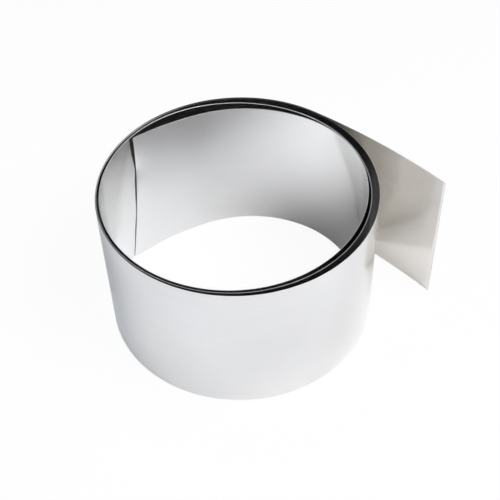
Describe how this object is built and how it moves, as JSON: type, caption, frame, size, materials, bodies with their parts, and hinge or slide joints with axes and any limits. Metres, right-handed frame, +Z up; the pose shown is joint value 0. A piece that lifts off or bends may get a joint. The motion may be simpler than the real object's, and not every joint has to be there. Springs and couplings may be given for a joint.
{
  "type": "nickel silver foil coil",
  "caption": "Loose open coil of thin bright nickel silver strip, standing on its edge, with the outer end running off as a tail.",
  "frame": {"origin": "on the floor, under the middle of the box round the coil and its tail", "axes": "+Z up along the strip's width, +X from the coil towards the side that the tail runs off to, +Y towards the back of the coil, where the tail leaves it"},
  "size_m": [0.2136, 0.1742, 0.1],
  "materials": {
    "nickel_silver": "bright rolled nickel silver with a faint grain along the strip"
  },
  "bodies": {
    "root": {"foil_strip": "nickel_silver"}
  },
  "joints": []
}
